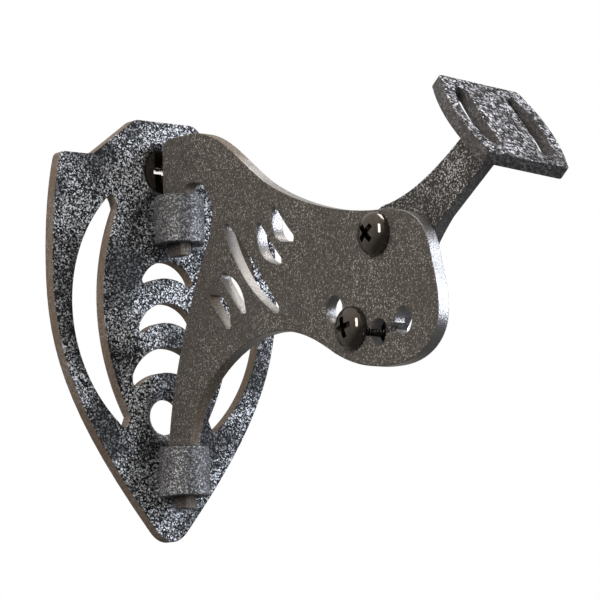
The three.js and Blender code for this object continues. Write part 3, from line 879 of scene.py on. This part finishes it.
def zinc_finish():
    """Bright zinc plate: pale blue-grey, lightly hazed by handling."""
    material, tree, shader = blank_finish("bright_zinc_plate")
    place = add_node(tree, "ShaderNodeTexCoord").outputs["Object"]
    haze = add_node(tree, "ShaderNodeTexNoise", {
        "Vector": place, "Scale": 1 / (0.9 * MM), "Detail": 5.0})
    tone = add_node(tree, "ShaderNodeMix", {
        0: haze.outputs["Fac"], 6: hex_colour("9DA1A6"), 7: hex_colour("C9CCD0")}, data_type="RGBA")
    tree.links.new(tone.outputs[2], shader.inputs["Base Color"])
    gloss = add_node(tree, "ShaderNodeMapRange", {
        "Value": haze.outputs["Fac"], "To Min": 0.2, "To Max": 0.38})
    tree.links.new(gloss.outputs["Result"], shader.inputs["Roughness"])
    shader.inputs["Metallic"].default_value = 1.0
    dents = add_node(tree, "ShaderNodeBump", {
        "Height": haze.outputs["Fac"], "Strength": 0.2, "Distance": 0.04 * MM})
    tree.links.new(dents.outputs["Normal"], shader.inputs["Normal"])
    return material


def nylon_finish():
    """Natural nylon: milky white with a satin skin."""
    material, tree, shader = blank_finish("natural_nylon")
    place = add_node(tree, "ShaderNodeTexCoord").outputs["Object"]
    clouds = add_node(tree, "ShaderNodeTexNoise", {
        "Vector": place, "Scale": 1 / (1.5 * MM), "Detail": 2.0})
    tone = add_node(tree, "ShaderNodeMix", {
        0: clouds.outputs["Fac"], 6: hex_colour("DAD7CB"), 7: hex_colour("F0EEE6")}, data_type="RGBA")
    tree.links.new(tone.outputs[2], shader.inputs["Base Color"])
    shader.inputs["Roughness"].default_value = 0.45
    shader.inputs["Subsurface Weight"].default_value = 0.2
    return material


zinc = zinc_finish()
nylon = nylon_finish()


def pan_screw_mesh(name):
    """Domed head with its cross recess, and the threaded shank below it."""
    driver = cross_cutter("driver", HEAD_H, depth=2.3, span=7.0, width=1.7)
    head = carved(name + "_head", turned_mesh(name, pan_profile, 72), driver)
    rod = threaded_rod(name + "_rod", SHANK_R, bottom=-SCREW_LENGTH, top=-0.3, pitch=PITCH, depth=0.5)
    return merged(name, head, rod)


def lock_nut_mesh(name):
    """Hexagon rounded at its corners, with a plain collar over the nylon ring."""
    corner = 10 / math.sqrt(3)
    hexagon = turned_mesh("hexagon", [(0, 0), (corner, 0), (corner, 5), (0, 5)], 6)
    limits = turned_mesh("limits", [
        (0, -0.1), (4.9, -0.1), (5.86, 0.65), (5.86, 4.2), (5.0, 5.0), (0, 5.1)], 72)
    collar = turned_mesh("collar", [
        (3.01, 4.4), (3.01, 4.55), (4.0, 4.6), (4.0, 6.1), (3.6, 6.15), (3.65, 6.45), (3.9, 6.6), (4.2, 6.5),
        (4.55, 6.2), (4.68, 5.6), (4.75, 4.4)], 72, True)
    bore = turned_mesh("bore", [(0, -1), (3.5, -1), (3.01, 0.4), (3.01, 6), (0, 6)], 48)
    block = carved("nut_block", hexagon, limits, "INTERSECT")
    return merged(name, carved("nut_bored", block, bore), collar)


def ring_mesh(name, inner, outer, height, rim):
    """Flat ring with chamfered rims."""
    return turned_mesh(name, [
        (inner, rim), (inner + rim, 0), (outer - rim, 0), (outer, rim), (outer, height - rim),
        (outer - rim, height), (inner + rim, height), (inner, height - rim)], 72, True)


WASHER_X = SHEET / 2 + GAP + SHEET + 0.1
NUT_X = WASHER_X + 1.6
RING_X = NUT_X + 4.7
to_left = Matrix.Rotation(-math.pi / 2, 4, "Y")
to_right = Matrix.Rotation(math.pi / 2, 4, "Y")


def across(centre, x, facing, twist=0.0):
    """Place on a cross axis of the arm, turned by twist degrees about it."""
    spin = Matrix.Rotation(math.radians(twist), 4, "Z")
    return Matrix.Translation((x, -centre.x, centre.y)) @ facing @ spin


for label, centre, twist in (("pivot", PIVOT, 40.0), ("lock", about_pivot(LOCK_ANGLE), 12.0)):
    finished(f"{label}_pan_screw", pan_screw_mesh(label), across(centre, -SHEET / 2 - 0.1, to_left, twist),
             black_screw, "arm", [f"{label}_screw"], 40)
    finished(f"{label}_plain_washer", ring_mesh(label, CLEAR_R, WASHER_R, WASHER_H, 0.2),
             across(centre, WASHER_X, to_right), zinc, "arm", [f"{label}_washer"])
    finished(f"{label}_lock_nut", lock_nut_mesh(label), across(centre, NUT_X, to_right, 30.0), zinc,
             "arm", [f"{label}_nut"])
    finished(f"{label}_nylon_ring", ring_mesh(label, 2.7, 3.9, 1.3, 0.25),
             across(centre, RING_X, to_right), nylon, "arm", [f"{label}_nut_insert"])
